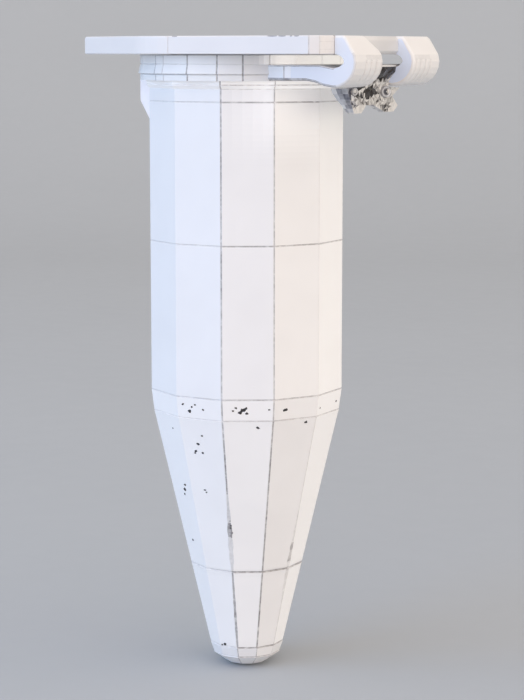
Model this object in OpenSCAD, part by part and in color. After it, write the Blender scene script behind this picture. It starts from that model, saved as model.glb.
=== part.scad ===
// Snap-lid microcentrifuge tube, closed. Millimetres, +Z up.
// The origin is on the tube's axis, in the plane of the collar's underside, where the tube
// hangs in a rack. The hinge points to +X, the thumb tab to -X, and the straps lie at +Y and -Y.

/* [Barrel] */
// Width of the twelve-sided barrel across its corners
barrel_d = 10.8; // [10.4:0.1:11]
// Diameter of the round bore
bore_d = 8.8; // [8.6:0.1:9]
// Depth of the straight barrel below the rack seat
barrel_depth = 16.8; // [12:0.1:24]

/* [Cone] */
// Width across corners at the top of the cone
cone_top_d = 10.52; // [10.3:0.02:10.7]
// Height of the tapered band between the barrel and the cone
band_h = 1.16; // [0.6:0.02:2]
// Height of the cone
cone_h = 13.4; // [10:0.1:16]
// Width across corners at the foot of the cone
cone_foot_d = 4.2; // [4:0.1:5]
// Radius of the hollow's round end
well_r = 0.85; // [0.7:0.05:1]
// Height of the blunt tip under the cone
tip_h = 1.36; // [1.2:0.02:1.6]

/* [Collar] */
// Width of the collar across its corners
collar_d = 11.5; // [11.3:0.1:11.7]
// Width of the flare's lower edge
flare_d = 11.7; // [11.5:0.1:12]
// Width of the neck under the collar
neck_d = 11.1; // [10.9:0.1:11.2]
// Height of the seat ring, from the rack seat to the flare
seat_ring_h = 0.34; // [0.2:0.02:0.4]
// Height of the flare
flare_h = 0.52; // [0.3:0.02:0.6]
// Height of the rim above the flare
rim_h = 0.49; // [0.3:0.01:0.6]
// Depth of the neck below the rack seat
neck_h = 0.43; // [0.3:0.01:0.6]

/* [Lid] */
// Gap between the rim and the closed lid
lid_gap = 0.03; // [0.01:0.01:0.1]
// Thickness of the lid plate
lid_t = 0.94; // [0.8:0.02:1.2]
// Width of the lid plate across its flat sides
lid_w = 12.5; // [12.2:0.1:13]
// Distance from the axis to the lid's rear edge
lid_rear = 8; // [7.8:0.1:8.2]
// Distance from the axis to the tip of the thumb tab
tab_reach = 8.56; // [7:0.02:9]
// Width of the thumb tab at its tip
tab_w = 5.72; // [4:0.02:7]
// Slope of the thumb tab's sides
tab_slope = 30; // [25:1:35]
// Depth of the plug below the lid
plug_depth = 2.6; // [1.8:0.1:2.8]
// Diameter of the plug under its sealing bead
plug_d = 8.2; // [7.8:0.1:8.3]
// Thickness of the plug's skirt
plug_wall = 0.8; // [0.5:0.1:1]
// Diameter of the sealing bead
bead_d = 8.7; // [8.6:0.02:8.72]

/* [Hinge] */
// Distance from the middle to the inner side of each strap
strap_in = 1.8; // [1.7:0.05:2]
// Distance from the middle to the outer side of each strap
strap_out = 5.2; // [5:0.05:5.4]
// Thickness of the straps' lower arms
arm_t = 0.79; // [0.6:0.01:0.8]
// Outer radius of the straps' loop
loop_r = 1.3; // [1.25:0.01:1.35]
// Turn between two hinge lines of the loop
hinge_step = 60; // [60]

/* [Rib and latch] */
// Width of the stiffening rib under the thumb tab
rib_w = 3.3; // [2.4:0.1:3.6]
// Length of the rib's straight stretch below the rack seat
rib_drop = 1.15; // [0.8:0.05:2]
// Thickness of the latch plate
latch_t = 0.36; // [0.3:0.02:0.5]
// Height of the latch plate above the rack seat
latch_top = 0.86; // [0.7:0.02:0.9]
// Depth of the latch's prongs below the rack seat
prong_depth = 1.67; // [1.4:0.01:2]

/* [Hidden] */

white = [0.93, 0.94, 0.97];
cool = [0.86, 0.89, 0.96];
warm = [0.94, 0.92, 0.89];
clear = [0.72, 0.72, 0.74];

body_sides = 12;
body_turn = 15;
collar_sides = 24;
round_fn = 96;
cut_extra = 1;
far = 30;

flare_z = seat_ring_h;
rim_z = flare_z + flare_h;
rim_top = rim_z + rim_h;
lid_z = rim_top + lid_gap;
lid_top = lid_z + lid_t;

neck_step = 0.21;
// The rib tapers in at this slope, and its block starts inside the barrel's wall
rib_slope = 1.715;
rib_root = 4.95;
cone_z = -barrel_depth - band_h;
cone_foot_z = cone_z - cone_h;
tip_z = cone_foot_z - tip_h;

// Heights and widths of the blunt tip's rings, from the cone's foot down
tip_rings = [
    [cone_foot_z, cone_foot_d], [cone_foot_z - 0.6, cone_foot_d * 0.91],
    [cone_foot_z - 1.18, cone_foot_d * 0.57], [tip_z, cone_foot_d * 0.24]
];

// The well narrows from the bore to its round end
well_top_d = bore_d - 0.1;

tab_knee = -tab_reach + (lid_w - tab_w) / 2 / tan(tab_slope);
tab_edge = 0.16;
// The line where the tab's front part of the lid meets the plate behind it
lid_seam = -1.15;
corner_1 = [0.48, 0.27];
corner_2 = [0.45, 0.78];

// The plug's skirt thins to this share of its thickness at the foot, which has a lead-in bevel
plug_foot_share = 0.7;
plug_bevel = [0.2, 0.25];
// The sealing bead: how far its middle is below the lid, and its half height at the crest and the root
bead_depth = 1.1;
bead_crest = 0.12;
bead_root = 0.42;

arm_z = rim_z - 0.02 - arm_t;
arm_top = arm_z + arm_t;
// The arms start inside the collar, and their outer sides slant in by root_inset from root_slant_x on
arm_start = 2;
root_slant_x = 5.12;
root_inset = 1.9;
loop_c = [7.9, 1];
// The bridge's outline, as distances behind the lid's rear edge and below or above its faces
bridge_gap = 0.02;
bridge_out = 0.26;
bridge_low = [0.12, 0.16];
bridge_high = [0.08, 0.22];

latch_x = 7.4;
latch_arm_w = 2.2;
latch_arm_t = 0.5;
latch_arm_z = 0.1;
latch_gap = 0.06;
latch_side_gap = 0.08;
// The latch plate's corners: the wing's end, the knee under it and the middle of the foot
wing_tip = [3.3, -0.4];
wing_knee = [2.4, -0.86];
latch_foot = [0.4, -1.27];
// A prong's corners below the knee, and the gusset behind it
prong_side = [2.95, -1.35];
prong_out = 2.5;
prong_in = 1.5;
gusset_t = 0.3;
gusset_y = 2.1;
gusset_x = 6.75;
gusset_z = -1.45;

// A prism with the barrel's twelve sides, tapered where its two widths differ
module ring_prism(z0, d0, z1, d1) {
    translate([0, 0, z0])
        rotate(body_turn)
            linear_extrude(z1 - z0, scale = d1 / d0)
                circle(d = d0, $fn = body_sides);
}

function regular(d, sides) = [for (i = [0:sides - 1]) d / 2 * [cos(i * 360 / sides), sin(i * 360 / sides)]];

// A prism with many flat sides, tapered where its two widths differ
module collar_prism(z0, d0, z1, d1) {
    translate([0, 0, z0])
        linear_extrude(z1 - z0, scale = d1 / d0)
            polygon(regular(d0, collar_sides));
}

module bore_cut(z0, z1) {
    translate([0, 0, z0 - cut_extra])
        cylinder(h = z1 - z0 + 2 * cut_extra, d = bore_d, $fn = round_fn);
}

// A round tapered hole that runs on past both its ends along the same slope
module taper_cut(z0, d0, z1, d1) {
    growth = (d1 - d0) / (z1 - z0) * cut_extra;
    translate([0, 0, z0 - cut_extra])
        cylinder(h = z1 - z0 + 2 * cut_extra, d1 = d0 - growth, d2 = d1 + growth, $fn = round_fn);
}

// The hollow's round end
module well_end() {
    translate([0, 0, cone_foot_z])
        sphere(r = well_r, $fn = round_fn);
}

module barrel() {
    color(white)
        difference() {
            ring_prism(-barrel_depth, barrel_d, -neck_h, barrel_d);
            bore_cut(-barrel_depth, -neck_h);
        }
}

module taper_band() {
    color(white)
        difference() {
            ring_prism(cone_z, cone_top_d, -barrel_depth, barrel_d);
            taper_cut(cone_z, well_top_d, -barrel_depth, bore_d);
        }
}

module cone() {
    color(white)
        difference() {
            ring_prism(cone_foot_z, cone_foot_d, cone_z, cone_top_d);
            taper_cut(cone_foot_z, 2 * well_r, cone_z, well_top_d);
        }
}

// The tip's twelve sides step inwards from ring to ring, with a flat cap at each end
module tip_block() {
    n = body_sides;
    last = len(tip_rings) - 1;
    ring_points = [
        for (ring = tip_rings, i = [0:n - 1])
            let (a = body_turn + i * 360 / n)
                [ring[1] / 2 * cos(a), ring[1] / 2 * sin(a), ring[0]]
    ];
    sides = [
        for (k = [0:last - 1], i = [0:n - 1])
            [k * n + i, k * n + (i + 1) % n, (k + 1) * n + (i + 1) % n, (k + 1) * n + i]
    ];
    top_cap = [for (i = [n - 1:-1:0]) i];
    bottom_cap = [for (i = [0:n - 1]) last * n + i];
    polyhedron(ring_points, concat(sides, [top_cap, bottom_cap]));
}

module tip() {
    color(white)
        difference() {
            tip_block();
            well_end();
        }
}

module neck_ring() {
    color(white)
        difference() {
            union() {
                ring_prism(-neck_step, neck_d, flare_z, neck_d);
                ring_prism(-neck_h, barrel_d, -neck_step, neck_d);
            }
            bore_cut(-neck_h, flare_z);
        }
}

// The seat ring's underside is the face that rests on a rack. It stands round the neck, and the
// rib passes through its notch
module seat_ring() {
    color(cool)
        difference() {
            collar_prism(0, collar_d, flare_z, collar_d);
            ring_prism(-cut_extra, neck_d, flare_z + cut_extra, neck_d);
            rib_block();
        }
}

module flare_ring() {
    color(cool)
        difference() {
            collar_prism(flare_z, flare_d, rim_z, collar_d);
            bore_cut(flare_z, rim_z);
        }
}

module rim() {
    color(cool)
        difference() {
            collar_prism(rim_z, collar_d, rim_top, collar_d);
            bore_cut(rim_z, rim_top);
        }
}

// The rib wraps the barrel's and the neck's front and tapers in below
module rib_block() {
    rib_x = collar_d / 2 + 0.02;
    rib_foot = rib_drop + (rib_x - rib_root) * rib_slope;
    difference() {
        rotate([90, 0, 0])
            translate([0, 0, -rib_w / 2])
                linear_extrude(rib_w)
                    polygon([[-rib_x, flare_z], [-rib_x, -rib_drop], [-rib_root, -rib_foot], [-rib_root, flare_z]]);
        ring_prism(-rib_foot - cut_extra, barrel_d, -neck_h, barrel_d);
        ring_prism(-neck_h, barrel_d, -neck_step, neck_d);
        ring_prism(-neck_step, neck_d, flare_z + cut_extra, neck_d);
    }
}

module front_rib() {
    color(cool)
        rib_block();
}

function arc(c, r, a0, a1, steps) =
    [for (i = [0:steps]) c + r * [cos(a0 + (a1 - a0) * i / steps), sin(a0 + (a1 - a0) * i / steps)]];

// The strap seen from its side: the lower arm dips into the loop, which slants back to the lid's top
arm_dip = [[6.35, arm_z], [6.9, arm_z - 0.1], [7.35, arm_z - 0.26]];
loop_back = [[9.13, 1.36], [8.6, 2.212], [8.45, lid_top]];
lid_joint = [[lid_rear, lid_top], [lid_rear, lid_z], [8.05, lid_z]];
loop_hollow = [[8.3, 1.28], [8.48, 1.12], [8.48, 0.95], [8.25, 0.77], [7.9, 0.69], [7.55, 0.76], [7.1, arm_top]];
strap_outline = concat(
    [[arm_start, arm_z]], arm_dip, arc(loop_c, loop_r, -90, 0, 6),
    loop_back, lid_joint, loop_hollow, [[arm_start, arm_top]]
);

// The part of the strap's outline between two directions from the loop's centre
module strap_slice(a0, a1) {
    intersection() {
        polygon(strap_outline);
        polygon(concat([loop_c], arc(loop_c, far, a0, a1, 6)));
    }
}

module strap_piece(a0, a1, side) {
    y0 = side > 0 ? strap_out : -strap_in;
    translate([0, y0, 0])
        rotate([90, 0, 0])
            linear_extrude(strap_out - strap_in)
                strap_slice(a0, a1);
}

// The arms' outer sides slant in towards the collar
module root_slant(side) {
    translate([0, 0, -far / 2])
        linear_extrude(far)
            polygon([
                [root_slant_x, side * strap_out], [arm_start, side * (strap_out - root_inset)],
                [arm_start, side * far], [root_slant_x, side * far]
            ]);
}

module strap_root(side) {
    color(cool)
        difference() {
            strap_piece(-180, -hinge_step, side);
            root_slant(side);
            collar_prism(0, collar_d, flare_z, collar_d);
            collar_prism(flare_z, flare_d, rim_z, collar_d);
        }
}

module strap_lower(side) {
    color(warm)
        strap_piece(-hinge_step, 0, side);
}

module strap_upper(side) {
    color(warm)
        strap_piece(0, hinge_step, side);
}

module strap_end(side) {
    color(cool)
        strap_piece(hinge_step, 180, side);
}

module strap_root_left() { strap_root(1); }
module strap_root_right() { strap_root(-1); }
module strap_lower_left() { strap_lower(1); }
module strap_lower_right() { strap_lower(-1); }
module strap_upper_left() { strap_upper(1); }
module strap_upper_right() { strap_upper(-1); }
module strap_end_left() { strap_end(1); }
module strap_end_right() { strap_end(-1); }

module lid_plate() {
    flat = lid_w / 2;
    rear = [lid_rear, flat - corner_1[1] - corner_2[1]];
    mid = rear + [-corner_2[0], corner_2[1]];
    front = mid + [-corner_1[0], corner_1[1]];
    color(cool)
        translate([0, 0, lid_z])
            linear_extrude(lid_t)
                polygon([
                    rear, mid, front, [lid_seam, flat],
                    [lid_seam, -flat], [front[0], -front[1]], [mid[0], -mid[1]], [rear[0], -rear[1]]
                ]);
}

// The tab's tip has a small chamfer along its top edge
module lid_tab() {
    color(cool)
        intersection() {
            translate([0, 0, lid_z])
                linear_extrude(lid_t)
                    polygon([
                        [lid_seam, lid_w / 2], [tab_knee, lid_w / 2], [-tab_reach, tab_w / 2],
                        [-tab_reach, -tab_w / 2], [tab_knee, -lid_w / 2], [lid_seam, -lid_w / 2]
                    ]);
            rotate([90, 0, 0])
                translate([0, 0, -far / 2])
                    linear_extrude(far)
                        polygon([
                            [lid_seam, lid_z], [-tab_reach, lid_z], [-tab_reach, lid_top - tab_edge],
                            [-tab_reach + tab_edge, lid_top], [lid_seam, lid_top]
                        ]);
        }
}

// A hollow skirt that closes the bore, thinner towards its foot
module lid_plug() {
    foot_r = plug_d / 2;
    foot_in = foot_r - plug_wall * plug_foot_share;
    foot_z = lid_z - plug_depth;
    color(warm)
        rotate_extrude($fn = round_fn)
            polygon([
                [foot_r - plug_wall, lid_z], [foot_r, lid_z], [foot_r, foot_z + plug_bevel[1]],
                [foot_r - plug_bevel[0], foot_z], [foot_in, foot_z]
            ]);
}

module seal_bead() {
    bead_z = lid_z - bead_depth;
    bead_r = bead_d / 2;
    root_r = plug_d / 2;
    color(warm)
        rotate_extrude($fn = round_fn)
            polygon([
                [root_r, bead_z + bead_root], [bead_r, bead_z + bead_crest],
                [bead_r, bead_z - bead_crest], [root_r, bead_z - bead_root]
            ]);
}

// The bar between the straps at the lid's rear edge
module rear_bridge() {
    bridge_y = strap_in - bridge_gap;
    color(warm)
        rotate([90, 0, 0])
            translate([0, 0, -bridge_y])
                linear_extrude(2 * bridge_y)
                    polygon([
                        [lid_rear, lid_z], [lid_rear + bridge_low[0], lid_z],
                        [lid_rear + bridge_out, lid_z + bridge_low[1]],
                        [lid_rear + bridge_out, lid_top - bridge_high[1]],
                        [lid_rear + bridge_high[0], lid_top], [lid_rear, lid_top]
                    ]);
}

module latch_arm() {
    arm_x = collar_d / 2 + latch_gap;
    color(clear)
        translate([arm_x, -latch_arm_w / 2, latch_arm_z])
            cube([latch_x - arm_x, latch_arm_w, latch_arm_t]);
}

// The plate stands between the straps, and its wings spread under them
module latch_plate() {
    half = strap_in - latch_side_gap;
    color(clear)
        translate([latch_x + latch_t, 0, 0])
            rotate([90, 0, -90])
                linear_extrude(latch_t)
                    polygon([
                        [-half, latch_top], [half, latch_top], [half, wing_tip[1]], wing_tip, wing_knee,
                        latch_foot, [-latch_foot[0], latch_foot[1]], [-wing_knee[0], wing_knee[1]],
                        [-wing_tip[0], wing_tip[1]], [-half, wing_tip[1]]
                    ]);
}

// A splayed foot of the plate, with a gusset behind it
module latch_prong(side) {
    color(clear) {
        translate([latch_x + latch_t, 0, 0])
            rotate([90, 0, -90])
                linear_extrude(latch_t)
                    polygon([
                        [-side * latch_foot[0], latch_foot[1]], [-side * wing_knee[0], wing_knee[1]],
                        [-side * prong_side[0], prong_side[1]],
                        [-side * prong_out, -prong_depth], [-side * prong_in, -prong_depth]
                    ]);
        translate([0, side * gusset_y + gusset_t / 2, 0])
            rotate([90, 0, 0])
                linear_extrude(gusset_t)
                    polygon([[latch_x, wing_tip[1]], [gusset_x, wing_tip[1]], [latch_x, gusset_z]]);
    }
}

module latch_prong_left() { latch_prong(1); }
module latch_prong_right() { latch_prong(-1); }

barrel();
taper_band();
cone();
tip();
neck_ring();
seat_ring();
flare_ring();
rim();
front_rib();
strap_root_left();
strap_root_right();
strap_lower_left();
strap_lower_right();
strap_upper_left();
strap_upper_right();
lid_plate();
lid_tab();
lid_plug();
seal_bead();
rear_bridge();
strap_end_left();
strap_end_right();
latch_arm();
latch_plate();
latch_prong_left();
latch_prong_right();
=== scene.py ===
"""Looks of a snap-lid microcentrifuge tube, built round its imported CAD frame. Lengths are in millimetres
until a mesh is made, where MM turns them into metres."""

import math
import random

import bmesh
import bpy
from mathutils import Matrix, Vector
from mathutils.geometry import delaunay_2d_cdt


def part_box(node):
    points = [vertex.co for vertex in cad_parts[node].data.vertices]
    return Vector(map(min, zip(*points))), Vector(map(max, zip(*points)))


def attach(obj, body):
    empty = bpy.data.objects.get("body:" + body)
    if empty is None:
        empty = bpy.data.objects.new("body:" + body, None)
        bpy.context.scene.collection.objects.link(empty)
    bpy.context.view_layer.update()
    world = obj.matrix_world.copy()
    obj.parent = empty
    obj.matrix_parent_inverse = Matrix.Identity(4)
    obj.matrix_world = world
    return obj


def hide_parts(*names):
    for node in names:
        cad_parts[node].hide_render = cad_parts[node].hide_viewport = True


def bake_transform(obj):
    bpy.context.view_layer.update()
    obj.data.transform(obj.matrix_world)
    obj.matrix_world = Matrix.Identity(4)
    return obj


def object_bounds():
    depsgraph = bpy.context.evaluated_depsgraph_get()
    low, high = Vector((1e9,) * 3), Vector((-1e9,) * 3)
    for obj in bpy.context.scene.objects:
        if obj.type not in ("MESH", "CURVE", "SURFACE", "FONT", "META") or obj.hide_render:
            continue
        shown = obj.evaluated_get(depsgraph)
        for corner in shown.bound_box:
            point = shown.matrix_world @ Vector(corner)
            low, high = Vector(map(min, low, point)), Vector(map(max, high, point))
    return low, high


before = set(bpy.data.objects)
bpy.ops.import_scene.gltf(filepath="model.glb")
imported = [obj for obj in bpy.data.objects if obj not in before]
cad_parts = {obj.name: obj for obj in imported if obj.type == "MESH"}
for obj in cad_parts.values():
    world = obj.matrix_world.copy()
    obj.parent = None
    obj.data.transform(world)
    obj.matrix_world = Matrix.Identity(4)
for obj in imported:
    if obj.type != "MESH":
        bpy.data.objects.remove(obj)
cad_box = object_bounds()

MM = 0.001


def smooth_step(low, high, value):
    t = min(max((value - low) / (high - low), 0), 1)
    return t * t * (3 - 2 * t)


def turned(angle):
    """Cosine and sine of an angle in degrees."""
    return math.cos(math.radians(angle)), math.sin(math.radians(angle))


def circle(steps):
    """Cosine and sine of evenly spaced angles once round."""
    angles = [2 * math.pi * i / steps for i in range(steps)]
    return [(math.cos(a), math.sin(a)) for a in angles]


def span(node, axis):
    """A CAD node's lowest and highest value along one axis, in millimetres."""
    low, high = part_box(node)
    return low[axis] / MM, high[axis] / MM


# ---------------- materials

class Nodes:
    """A short way to write a material's node tree."""

    def __init__(self, name):
        self.material = bpy.data.materials.new(name)
        self.material.use_nodes = True
        self.tree = self.material.node_tree
        self.shader = self.tree.nodes["Principled BSDF"]
        self.place = self.add("ShaderNodeTexCoord").outputs["Object"]

    def add(self, kind, **settings):
        node = self.tree.nodes.new(kind)
        for key, value in settings.items():
            setattr(node, key, value)
        return node

    def link(self, a, b):
        self.tree.links.new(a, b)

    def feed(self, socket, value):
        self.link(value, self.shader.inputs[socket])

    def mark(self, name):
        """The number that paint() stored on each face under that name."""
        return self.add("ShaderNodeAttribute", attribute_name=name).outputs["Fac"]

    def noise(self, per_mm, detail=3.0, rough=0.55, stretch=(1, 1, 1)):
        """Noise with about per_mm features to the millimetre."""
        mapping = self.add("ShaderNodeMapping")
        mapping.inputs["Scale"].default_value = stretch
        noise = self.add("ShaderNodeTexNoise")
        noise.inputs["Scale"].default_value = per_mm / MM
        noise.inputs["Detail"].default_value = detail
        noise.inputs["Roughness"].default_value = rough
        self.link(self.place, mapping.inputs["Vector"])
        self.link(mapping.outputs["Vector"], noise.inputs["Vector"])
        return noise.outputs["Fac"]

    def spread(self, value, low, high, out_low=0.0, out_high=1.0):
        """Stretches the part of value between low and high over the range out_low to out_high."""
        node = self.add("ShaderNodeMapRange")
        for socket, number in zip(node.inputs[1:5], (low, high, out_low, out_high)):
            socket.default_value = number
        self.link(value, node.inputs["Value"])
        return node.outputs["Result"]

    def math(self, operation, a, b):
        node = self.add("ShaderNodeMath", operation=operation)
        for socket, value in zip(node.inputs, (a, b)):
            if isinstance(value, (int, float)):
                socket.default_value = value
            else:
                self.link(value, socket)
        return node.outputs[0]

    def mix(self, factor, a, b):
        node = self.add("ShaderNodeMix", data_type="RGBA")
        self.link(factor, node.inputs["Factor"])
        for socket, value in zip((node.inputs[6], node.inputs[7]), (a, b)):
            if isinstance(value, tuple):
                socket.default_value = (*value, 1.0)
            else:
                self.link(value, socket)
        return node.outputs[2]

    def bump(self, height, strength, distance_mm):
        node = self.add("ShaderNodeBump")
        node.inputs["Strength"].default_value = strength
        node.inputs["Distance"].default_value = distance_mm * MM
        self.link(height, node.inputs["Height"])
        self.feed("Normal", node.outputs["Normal"])


DIRT = (0.2, 0.185, 0.19)
# painted light: the blue tint of faces marked blue, and the warm and blue light that marked faces give off
BLUE_LIGHT_TINT = (0.68, 0.75, 0.9)
WARM_PAINTED_LIGHT, BLUE_PAINTED_LIGHT = (1.0, 0.95, 0.89), (0.8, 0.87, 1.0)


def plastic(name, light, shade, roughness):
    """Matt moulded plastic: cloudy tint, fine grain, and dirt in the grooves marked by "ink". Faces marked
    with painted light give it off to lift the shade on them, and faces marked with painted blue take a blue
    tint of cool light."""
    n = Nodes(name)
    cloud = n.spread(n.noise(0.25, 2.0), 0.35, 0.65)
    flow = n.spread(n.noise(1.1, 4.0, stretch=(1, 1, 0.12)), 0.3, 0.7, 0.0, 0.5)
    tint = n.mix(n.math("MAXIMUM", cloud, flow), light, shade)
    dashes = n.spread(n.noise(3.1, 4.0, 0.7), 0.34, 0.56, 0.45, 1.0)
    fading = n.spread(n.noise(0.5, 1.0), 0.35, 0.6, 0.7, 1.0)
    inked = n.math("MULTIPLY", n.mark("ink"), n.math("MULTIPLY", dashes, fading))
    cool = n.mark("cool")
    n.feed("Base Color", n.mix(inked, n.mix(cool, tint, BLUE_LIGHT_TINT), DIRT))
    n.feed("Roughness", n.spread(n.noise(6.0), 0.2, 0.8, roughness - 0.06, roughness + 0.08))
    n.bump(n.noise(14.0, 4.0), 0.12, 0.01)
    n.feed("Emission Color", n.mix(cool, WARM_PAINTED_LIGHT, BLUE_PAINTED_LIGHT))
    clean = n.math("SUBTRACT", 1.0, inked)
    n.feed("Emission Strength", n.math("MULTIPLY", n.mark("painted_light"), clean))
    n.shader.inputs["IOR"].default_value = 1.49
    return n.material


def crystal(name):
    """Clear moulding like cut glass. "ink" darkens a facet and the painted blue mark turns it slate blue:
    painted dark and blue reflections, with the pale facets as painted highlights.
    """
    n = Nodes(name)
    veins = n.spread(n.noise(2.6, 2.0, 0.5), 0.3, 0.7, -0.14, 0.14)
    dark = n.math("ADD", n.mark("ink"), veins)
    glass = n.mix(n.spread(dark, 0.05, 0.85), (0.88, 0.86, 0.83), (0.02, 0.014, 0.011))
    blue = n.mix(n.spread(dark, 0.05, 0.95), (0.8, 0.83, 0.95), (0.05, 0.055, 0.1))
    n.feed("Base Color", n.mix(n.mark("cool"), glass, blue))
    n.feed("Roughness", n.spread(n.noise(7.0), 0.3, 0.7, 0.08, 0.22))
    n.shader.inputs["Transmission Weight"].default_value = 0.15
    n.shader.inputs["Specular IOR Level"].default_value = 0.4
    n.shader.inputs["IOR"].default_value = 1.5
    n.bump(n.noise(6.0, 3.0), 0.3, 0.03)
    return n.material


def grit(name):
    """Black grains with a dull, rough surface."""
    n = Nodes(name)
    n.feed("Base Color", n.mix(n.noise(9.0), (0.012, 0.012, 0.014), (0.06, 0.058, 0.06)))
    n.feed("Roughness", n.spread(n.noise(12.0), 0.3, 0.7, 0.5, 0.8))
    n.bump(n.noise(20.0), 0.4, 0.02)
    return n.material


def floor_paint(name):
    """Pale, very slightly cloudy studio floor."""
    n = Nodes(name)
    n.feed("Base Color", n.mix(n.noise(0.02), (0.43, 0.455, 0.48), (0.46, 0.485, 0.51)))
    n.feed("Roughness", n.spread(n.noise(0.4), 0.3, 0.7, 0.75, 0.9))
    return n.material


TUBE_PLASTIC = plastic("tube_plastic", (0.9, 0.895, 0.9), (0.87, 0.865, 0.87), 0.42)
COLLAR_PLASTIC = plastic("collar_plastic", (0.9, 0.895, 0.885), (0.83, 0.825, 0.82), 0.45)
# the rib's plastic is the tube's made lighter and pinker: painted light
LIT_RIB_PLASTIC = plastic("lit_rib_plastic", (0.97, 0.9, 0.9), (0.94, 0.87, 0.87), 0.42)
LID_PLASTIC = plastic("lid_plastic", (0.865, 0.842, 0.832), (0.826, 0.805, 0.8), 0.4)
NICK_PLASTIC = plastic("nick_plastic", (0.5, 0.49, 0.5), (0.38, 0.37, 0.38), 0.6)
STRAP_PLASTIC = plastic("strap_plastic", (0.89, 0.88, 0.88), (0.85, 0.84, 0.84), 0.46)
# the bridge's plastic is the lid's made darker and greyer: painted shade between the straps
SHADED_BRIDGE_PLASTIC = plastic("shaded_bridge_plastic", (0.78, 0.775, 0.78), (0.7, 0.695, 0.7), 0.46)
PLUG_PLASTIC = plastic("plug_plastic", (0.87, 0.86, 0.85), (0.82, 0.81, 0.8), 0.35)
LATCH_CLEAR = crystal("latch_clear")
GRIT = grit("grit")
FLOOR_PAINT = floor_paint("floor_paint")


# ---------------- meshes

def paint(piece, name, values):
    """Stores a number for each face under that name, for the material to read."""
    marks = piece.data.attributes.new(name, "FLOAT", "CORNER")
    for face, value in zip(piece.data.polygons, values):
        for corner in face.loop_indices:
            marks.data[corner].value = value


def show(name, data):
    """An object in the scene for a mesh, a lamp or a camera."""
    shown = bpy.data.objects.new(name, data)
    bpy.context.scene.collection.objects.link(shown)
    return shown


def finish_mesh(name, mesh, material, smooth_angle):
    """Gives a mesh its material, smooth shading up to an angle in degrees, and an object."""
    mesh.materials.append(material)
    mesh.shade_smooth()
    mesh.set_sharp_from_angle(angle=math.radians(smooth_angle))
    return show(name, mesh)


def add_mesh(name, points, faces, material, ink=None, smooth_angle=8.0):
    """A mesh object from points in millimetres. ink gives each face its share of groove dirt."""
    mesh = bpy.data.meshes.new(name)
    mesh.from_pydata([Vector(p) * MM for p in points], [], faces)
    piece = finish_mesh(name, mesh, material, smooth_angle)
    if ink:
        paint(piece, "ink", ink)
    return piece


def settle(piece, body, slot, *nodes):
    """The piece rides on a body and stands for the CAD nodes, which it hides. slot is not used."""
    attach(piece, body)
    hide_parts(*nodes)


def regular(width, angles):
    """Corners of a polygon drawn in a circle of that width, at the given angles in degrees."""
    return [Vector(turned(a)) * (width / 2) for a in angles]


def plain(j, i):
    """The ink of a piece without any."""
    return 0.0


def add_block(points, faces, rings, flip=False):
    """Adds a block, lofted through its rings and capped, to a growing mesh."""
    more, block, _ = loft(rings, plain, closed=False, cap_start=True, cap_end=True)
    for face in block:
        face = tuple(len(points) + k for k in face)
        faces.append(tuple(reversed(face)) if flip else face)
    points += more


# each side of a polygon ring has a narrow strip at both ends and PARTS equal parts between them
PARTS = 5
RING_STEP = PARTS + 2
STRIP = 0.035
STRIP_SHARE = 0.2
GROOVE = 0.025


def edge_ring(corners, z, dips):
    """Points round a polygon. dips lists the (depth, width share) of the narrow groove along each corner."""
    points = []
    for i, corner in enumerate(corners):
        k = (i + 1) % len(corners)
        along = corners[k] - corner
        inward = ((corners[i - 1] - corner).normalized() + along.normalized()).normalized()
        points.append((*(corner + inward * dips[i][0]), z))
        start, end = (min(STRIP * dips[n][1] / along.length, STRIP_SHARE) for n in (i, k))
        for step in range(PARTS + 1):
            points.append((*(corner + along * (start + (1 - start - end) * step / PARTS)), z))
    return points


def round_ring(like, radius, z):
    """A circle with one point in the direction of each point of another ring."""
    points = []
    for x, y, _ in like:
        length = math.hypot(x, y)
        points.append((x / length * radius, y / length * radius, z))
    return points


def loft(rings, ink_of, closed=True, cap_start=False, cap_end=False):
    """Faces between rings of equal size, with the ink of each, then the end caps."""
    size = len(rings[0])
    faces, ink = [], []
    count = len(rings) if closed else len(rings) - 1
    for j in range(count):
        a, b = j * size, (j + 1) % len(rings) * size
        for i in range(size):
            k = (i + 1) % size
            faces.append((a + i, b + i, b + k, a + k))
            ink.append(ink_of(j, i))
    if cap_start:
        faces.append(tuple(range(size)))
        ink.append(0.0)
    if cap_end:
        last = (len(rings) - 1) * size
        faces.append(tuple(last + i for i in reversed(range(size))))
        ink.append(0.0)
    return [p for ring in rings for p in ring], faces, ink


def near_corner(i, corners):
    """The corner whose dark strip holds side i of a ring, or None."""
    place = i % RING_STEP
    if place == 0:
        return i // RING_STEP
    if place == RING_STEP - 1:
        return (i // RING_STEP + 1) % corners
    return None


SCUFF_CORE_INK, SCUFF_INK = 0.95, 0.42


def streak_at(streaks, corner, z):
    """(extra width, ink) of a corner at height z. A streak lists corner, z low and high, core and width."""
    for k, z_low, z_high, core, width in streaks:
        if k == corner and z_low < z < z_high:
            swell = math.sin(math.pi * ((z - z_low) / (z_high - z_low)) ** 0.7)
            uneven = 0.75 + 0.25 * math.sin(z * 7.3 + k)
            return width * swell * uneven, SCUFF_CORE_INK if core[0] < z < core[1] else SCUFF_INK
    return 0.0, None


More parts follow.
